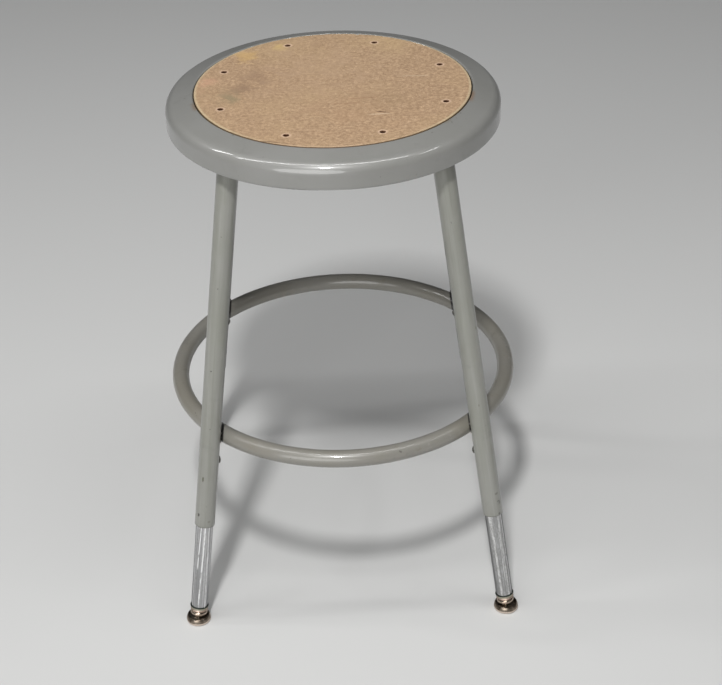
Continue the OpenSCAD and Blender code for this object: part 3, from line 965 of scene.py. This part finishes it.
weld = {
    "thick": 0.0021,
    "drop": (0.86, 0.97, 1, 0.95),  # thickness along one drop, and at the end of a bead
    "end": (0.001, 0.5, 0.78),
    "uneven": (0.9, 1.06),
    "ringTurn": 56,
    "ringLift": 0.005,
    "ringDrops": 6,
    "topDrops": 20,
    "topOut": 0.0002,
    "topBelow": 0.0009,
}


def weldBead(name, around, turn, drops, seed, endless=False):
    # a bead laid round the Z axis in overlapping drops, thicker and thinner as it goes
    chance = random.Random(seed)
    sizes = []
    for k in range(drops):
        drop = chance.uniform(*weld["uneven"])
        sizes += [share * drop for share in weld["drop"]]
    if not endless:
        sizes = [*weld["end"], *sizes, *reversed(weld["end"])]
    step = turn / (len(sizes) if endless else len(sizes) - 1)
    start = turn / 2
    ob = circle(name, 16, weld["thick"] * sizes[0], turn=pi / 2)
    settle(ob, Matrix.Rotation(start, 4, "Z") @ Matrix.Translation((around, 0, 0)))
    editAll(ob)
    for k in range(1, len(sizes) + (1 if endless else 0)):
        bpy.ops.mesh.extrude_region_move(TRANSFORM_OT_translate={"value": (0, 0, 0)})
        bpy.ops.transform.rotate(value=step, orient_axis="Z", center_override=(0, 0, 0))
        at = start - k * step
        grow = sizes[k % len(sizes)] / sizes[k - 1]
        middle = (around * cos(at), around * sin(at), 0)
        bpy.ops.transform.resize(value=(grow, grow, grow), center_override=middle)
    objectMode()
    return smooth(closeUp(ob), 50)


weldMat = darkEnamel("weldEnamel", 500)
firstLeg = legFrame("front_left")
touch = firstLeg.translation.normalized() * ringRadius + Vector((0, 0, ring["height"]))
contact = (firstLeg.inverted() @ touch).z  # how far up a leg the ring meets it
for number, side in enumerate(sides):
    for end, way, seed in (("lower", -1, 10 * number + 2), ("upper", 1, 10 * number + 1)):
        turn = radians(weld["ringTurn"])
        bead = weldBead(f"ringBead_{side}_{end}", leg["outer"], turn, weld["ringDrops"], seed)
        tube = legFrame(side, contact + way * weld["ringLift"])
        settle(bead, tube @ Matrix.Rotation(pi, 4, "Z"))
        finishPiece(bead, "frame", weldMat, "ring_welds")
for number, side in enumerate(sides):
    around = leg["outer"] + weld["topOut"]
    bead = weldBead("topBead_" + side, around, 2 * pi, weld["topDrops"], 70 + number, True)
    tube = legFrame(side)
    top = tube.translation + tube.to_3x3().col[2] * alongLeg(legTop - weld["topBelow"])
    place = Matrix.Rotation(atan2(top.y, top.x), 4, "Z")
    place.translation = top
    settle(bead, place @ Matrix.Diagonal((1 / legRise, 1, 1, 1)))
    finishPiece(bead, "frame", weldMat, "leg_welds")


print("lock screws")
screw = {
    "head": 0.0057,
    "high": 0.0034,
    "side": 0.0016,
    "edge": 0.0003,
    "shank": 0.0024,
    "reach": 0.0056,
    "slot": (0.0054, 0.0013, 0.0015),
    "over": 0.001,
    "threads": 6,
    "threadStart": 0.0004,
    "pitch": 0.0008,
    "root": 0.86,
    "crest": (0.0003, 0.00045),
}
domeRise = screw["high"] - screw["side"]
screwDome = (screw["head"] ** 2 + domeRise ** 2) / (2 * domeRise)
domeStart = degrees(acos(screw["head"] / screwDome))
shank, tip = screw["shank"], -screw["reach"]
threads = []
for k in range(screw["threads"]):
    z = tip + screw["threadStart"] + k * screw["pitch"]
    threads += [(shank * screw["root"], z)] + [(shank, z + rise) for rise in screw["crest"]]
screwSection = (
    [(pole, tip), (shank * 0.8, tip)] + threads
    + [(shank, 0), (screw["head"] - screw["edge"], 0), (screw["head"], screw["edge"])]
    + arc(0, screw["high"] - screwDome, screwDome, domeStart, nearPole) + [(pole, screw["high"])]
)
screwMaster = closeUp(turned("lockScrew", screwSection, 48))
slotLong, slotWide, slotDeep = screw["slot"]
cross = []
for turn in (45, 135):
    clearSelection()
    bpy.ops.mesh.primitive_cube_add(
        size=1, location=(0, 0, screw["high"] - slotDeep / 2 + screw["over"]),
        rotation=(0, 0, radians(turn)), scale=(slotLong, slotWide, slotDeep + 2 * screw["over"]),
    )
    cross.append(bpy.context.object)
combine(cross[0], [cross[1]], "UNION")
combine(screwMaster, [cross[0]])
smooth(markPlace(screwMaster))
screwMat = tarnished("screwZinc", (0.22, 0.22, 0.2), (0.1, 0.095, 0.08), 0.2, 0.3)
for side in sides:
    inward = legFrame(side, screwAt) @ Matrix.Rotation(-pi / 2, 4, "Y")
    inward = inward @ Matrix.Translation((0, 0, leg["outer"]))
    placeCopy(screwMaster, "lockScrew_" + side, inward, "frame", screwMat, "lock_screws")
discard(screwMaster)


print("swivel glides")
glide = {
    "collar": 0.0098,
    "collarHigh": 0.0057,
    "waist": 0.0092,
    "waistLean": 0.0001,
    "roll": 0.0019,
    "lip": 0.01045,
    "lipHigh": 0.0009,
    "lipFlare": 0.0005,
    "plugHigh": 0.015,
    "plugWall": 0.0015,
    "plugFit": 0.0001,
    "plugEdge": (0.0005, 0.0006),
    "stem": 0.003,
    "stemFit": 0.00005,
    "headR": 0.0042,
    "headHigh": 0.0012,
    "dome": 0.0097,
    "domeHigh": 0.0066,
    "domeGap": 0.0002,
    "neck": 0.002,
    "neckFlare": (0.0007, 0.0006),
    "ball": 0.0035,
    "ballAt": 0.0046,
    "ballFit": 0.00005,
    "base": 0.01385,
    "baseHigh": 0.0083,
    "baseEdge": 0.0026,
    "rim": 0.0121,
    "rimLean": 0.0001,
    "hollow": 0.0113,
    "hollowLean": 0.0002,
    "hollowFloor": 0.005,
    "boss": 0.0052,
    "bossFlare": 0.0005,
    "bossHigh": 0.0066,
    "underFlat": 0.002,
    "fineEdge": 0.0003,
    "edge": 0.0004,
    "softEdge": 0.0008,
    "lipBandColour": (0.022, 0.03, 0.022),
    "rollTone": (0.5, 0.385, 0.32),
    "footHighlight": (0.74, 0.64, 0.56),
}
collarLow = extLow - glide["collarHigh"]
lipLow = extLow - glide["lipHigh"]
plugOut = leg["extOuter"] - leg["wall"] - glide["plugFit"]
plugIn, plugTop = plugOut - glide["plugWall"], extLow + glide["plugHigh"]
plugSlantX, plugSlantZ = glide["plugEdge"]
stemBore = glide["stem"] + glide["stemFit"]
collar, lip, waist = glide["collar"], glide["lip"], glide["waist"]
fineEdge, edge, softEdge = glide["fineEdge"], glide["edge"], glide["softEdge"]
insertSection = (
    [(stemBore, collarLow)] + arc(collar - softEdge, collarLow + softEdge, softEdge, -90, 60)
    + [(waist, collarLow + glide["roll"]), (waist + glide["waistLean"], lipLow - glide["lipFlare"])]
    + [(collar + fineEdge, lipLow)]
    + corner(lip, lipLow, fineEdge, -90) + corner(lip, extLow, fineEdge, 0)
    + [(plugOut, extLow), (plugOut, plugTop - plugSlantZ), (plugOut - plugSlantX, plugTop)]
    + [(plugIn, plugTop), (plugIn, extLow), (stemBore, extLow), (stemBore, collarLow)]
)
domeR = glide["domeHigh"] / 2
domeMid = collarLow - glide["domeGap"] - domeR
ballMid = alongLeg(glide["ballAt"])
neckTurn = degrees(acos(glide["neck"] / glide["ball"]))
flareX, flareZ = glide["neckFlare"]
headTop = extLow + glide["headHigh"]
stemSection = (
    arc(0, ballMid, glide["ball"], -nearPole, neckTurn, 14)
    + [(glide["neck"], domeMid - domeR - flareZ), (glide["neck"] + flareX, domeMid - domeR)]
    + arc(glide["dome"] - domeR, domeMid, domeR, -90, 90, 20)
    + [(glide["stem"], domeMid + domeR), (glide["stem"], extLow), (glide["headR"] * 0.95, extLow)]
    + corner(glide["headR"], headTop, edge, 0) + [(pole, headTop)]
)
foot, rim, hollow, boss = glide["base"], glide["rim"], glide["hollow"], glide["boss"]
footHigh, footEdge, hollowFloor = glide["baseHigh"], glide["baseEdge"], glide["hollowFloor"]
footRise = footHigh - footEdge
flank = ((foot - rim) ** 2 + footRise ** 2) / (2 * (foot - rim))
flankEnd = degrees(asin(footRise / flank))
socket = glide["ball"] + glide["ballFit"]
socketEnd = degrees(asin((glide["bossHigh"] - glide["ballAt"]) / socket))
baseSection = (
    [(pole, 0), (foot - footEdge - glide["underFlat"], 0)] + corner(foot, 0, footEdge, -90, 10)
    + arc(foot - flank, footEdge, flank, 0, flankEnd)[:-1]
    + [(rim + glide["rimLean"], footHigh - fineEdge), (rim - fineEdge, footHigh)]
    + [(hollow + glide["hollowLean"], footHigh), (hollow, footHigh - fineEdge)]
    + arc(hollow - softEdge, hollowFloor + softEdge, softEdge, 0, -90, 4)
    + [(boss + glide["bossFlare"], hollowFloor), (boss, hollowFloor + edge)]
    + corner(boss, glide["bossHigh"], edge, 0)
    + arc(0, glide["ballAt"], socket, socketEnd, -nearPole, 14)
)
insertMat = tarnished(
    "collarNickel", (0.47, 0.44, 0.35), (0.33, 0.3, 0.23), 0.12, 0.3,
    # a near-black band round the lip at the tube's end
    band=(lipLow - 0.0002, extLow + fineEdge, glide["lipBandColour"]),
    below=(collarLow + glide["roll"], glide["rollTone"]),
)
stemMat = tarnished("stemNickel", (0.54, 0.45, 0.37), (0.29, 0.21, 0.155), 0.25, 0.2)
# the pale band low on the base is a painted highlight along the foot's rim
baseMat = tarnished(
    "baseNickel", (0.31, 0.26, 0.21), (0.09, 0.068, 0.048), 0.15, 0.24,
    below=(footEdge * 1.3, glide["footHighlight"]),
)
insertMaster = smooth(markPlace(closeUp(turned("glideInsert", insertSection, 72))))
stemMaster = smooth(markPlace(closeUp(turned("glideStem", stemSection, 72), 1e-5)))
baseMaster = smooth(markPlace(closeUp(turned("glideBase", baseSection, 96), 1e-5)))
for side in sides:
    ballX, ballY, _ = joints["tilt_" + side]["pos_m"]
    tube, onFloor = legFrame(side), Matrix.Translation((ballX, ballY, 0))
    for kind, master, place, body, slot, mat in (
        ("Insert", insertMaster, tube, "leg_", "collar_nickel", insertMat),
        ("Stem", stemMaster, tube, "leg_", "stem_nickel", stemMat),
        ("Base", baseMaster, onFloor, "glide_", "glide_nickel", baseMat),
    ):
        node = f"glide_{kind.lower()}_{side}"
        placeCopy(master, f"glide{kind}_{side}", place, body + side, mat, node)
discard(insertMaster, stemMaster, baseMaster)


print("under-seat spider")
spider = {
    "top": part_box("leg_spider")[1].z,
    "sheet": 0.002,
    "start": 0.018,
    "reach": 0.162,
    "armWide": 0.034,
    "flange": 0.012,
    "hub": 0.045,
    "hubFlange": 0.0005,
    "hole": 0.012,
    "bend": 0.003,
    "endRise": 0.006,
    "edge": 0.00025,
    "cells": 16,
}
clearSelection()
bpy.ops.mesh.primitive_grid_add(x_subdivisions=spider["cells"], y_subdivisions=2, size=1)
spiderArm = bpy.context.object
spiderArm.name = "spiderArm"
editAll(spiderArm)
armSize = (spider["reach"] - spider["start"], spider["armWide"] - 2 * spider["bend"], 1)
bpy.ops.transform.resize(value=armSize, center_override=(0, 0, 0))
bpy.ops.transform.translate(value=((spider["start"] + spider["reach"]) / 2, 0, spider["top"]))
objectMode()
for way in (1, -1):
    edgeY = way * (spider["armWide"] / 2 - spider["bend"])
    editWhere(spiderArm, lambda co: abs(co.y - edgeY) < 1e-5 and co.x > spider["hub"] - 1e-4, "EDGE")
    path = arc(0, -spider["bend"], spider["bend"], 90, 0, 5) + [(spider["bend"], -spider["flange"])]
    for (y0, z0), (y1, z1) in zip(path, path[1:]):
        bpy.ops.mesh.extrude_region_move(TRANSFORM_OT_translate={"value": (0, way * (y1 - y0), z1 - z0)})
    objectMode()
bottom = spider["top"] - spider["flange"]
flangeLifts = (
    (spider["hub"], spider["flange"] - spider["bend"] - spider["hubFlange"]),
    (spider["reach"], spider["endRise"]),
)
for atX, lift in flangeLifts:
    editWhere(spiderArm, lambda co: co.z < bottom + 1e-5 and abs(co.x - atX) < 1e-4)
    bpy.ops.transform.translate(value=(0, 0, lift))
    objectMode()
closeUp(spiderArm)
applyModifier(spiderArm, "SOLIDIFY", thickness=spider["sheet"], offset=-1)
hole, hub, top, sheet = spider["hole"], spider["hub"], spider["top"], spider["sheet"]
hubSection = [(hole, top - sheet), (hub, top - sheet), (hub, top), (hole, top), (hole, top - sheet)]
legSpider = closeUp(turned("legSpider", hubSection, 96))
for bearing in (45, 135, 225, 315):
    arm = settle(copyOf(spiderArm, "arm"), Matrix.Rotation(radians(bearing), 4, "Z"))
    combine(legSpider, [closeUp(arm)], "UNION")
discard(spiderArm)
sharp = radians(50)
applyModifier(legSpider, "BEVEL", width=spider["edge"], segments=1, limit_method="ANGLE", angle_limit=sharp)
smooth(legSpider)
finishPiece(legSpider, "frame", darkEnamel("spiderEnamel", 260), "leg_spider")


print("floor, lamps and camera")
room = {
    "floorColour": (0.6, 0.6, 0.592),
    "floorSize": 24,
    "floorGloss": 0.55,
    "floorShine": 0.15,
    "airColour": (0.78, 0.8, 0.82),
    "airStrength": 0.09,
}
clearSelection()
bpy.ops.mesh.primitive_plane_add(size=room["floorSize"])
floor = bpy.context.object
floor.name = "floor"
floor.data.materials.append(newMaterial(
    "paleFloor", Base_Color=(*room["floorColour"], 1),
    Roughness=room["floorGloss"], Specular_IOR_Level=room["floorShine"],
)[0])

world = bpy.data.worlds.new("softRoom")
world.use_nodes = True
bpy.context.scene.world = world
air = world.node_tree.nodes["Background"]
air.inputs["Color"].default_value = (*room["airColour"], 1)
air.inputs["Strength"].default_value = room["airStrength"]


def lampTowards(name, kind, strength, place, aim):
    light = bpy.data.lights.new(name, kind)
    light.energy = strength
    lamp = linked(bpy.data.objects.new(name, light))
    lamp.location = place
    lamp.rotation_euler = (Vector(aim) - Vector(place)).to_track_quat("-Z", "Y").to_euler()
    return light


lamps = [
    # name, place, aim, width, depth, power
    ("mainLamp", (-0.235, -1.62, 2.8), (0, 0, 0.3), 0.2, 0.34, 60),
    ("wideStrip", (-0.55, -0.4, 2.75), (-0.55, -0.4, 0), 3.6, 0.12, 28),
    ("rightStrip", (1.9, -0.22, 2.75), (0, 0, 0.5), 0.8, 0.07, 4),
    ("leftStrip", (-2.45, 0.3, 2.75), (0, 0, 0.5), 0.2, 0.9, 11),
]
for name, place, aim, width, depth, power in lamps:
    light = lampTowards(name, "AREA", power, place, aim)
    light.shape = "RECTANGLE"
    light.size = width
    light.size_y = depth

# a broad low fill from the front, even over the whole floor
fill = {"from": (-1.3, -4.2, 0.9), "strength": 1.74, "spread": 46}
fillLight = lampTowards("frontFill", "SUN", fill["strength"], fill["from"], (0, 0, 0))
fillLight.angle = radians(fill["spread"])

view = {
    "place": (0, -1.639, 1.2918),
    "pitch": -32.303,
    "yaw": 0.756,
    "roll": -1.776,
    "lens": 83.44,
}
camData = bpy.data.cameras.new("camera")
camData.lens = view["lens"]
camData.sensor_width = 36
camera = linked(bpy.data.objects.new("camera", camData))
camera.matrix_world = (
    Matrix.Translation(view["place"])
    @ Matrix.Rotation(radians(-view["yaw"]), 4, "Z")
    @ Matrix.Rotation(radians(90 + view["pitch"]), 4, "X")
    @ Matrix.Rotation(radians(view["roll"]), 4, "Z")
)
bpy.context.scene.camera = camera
bpy.context.scene.view_settings.view_transform = "Standard"
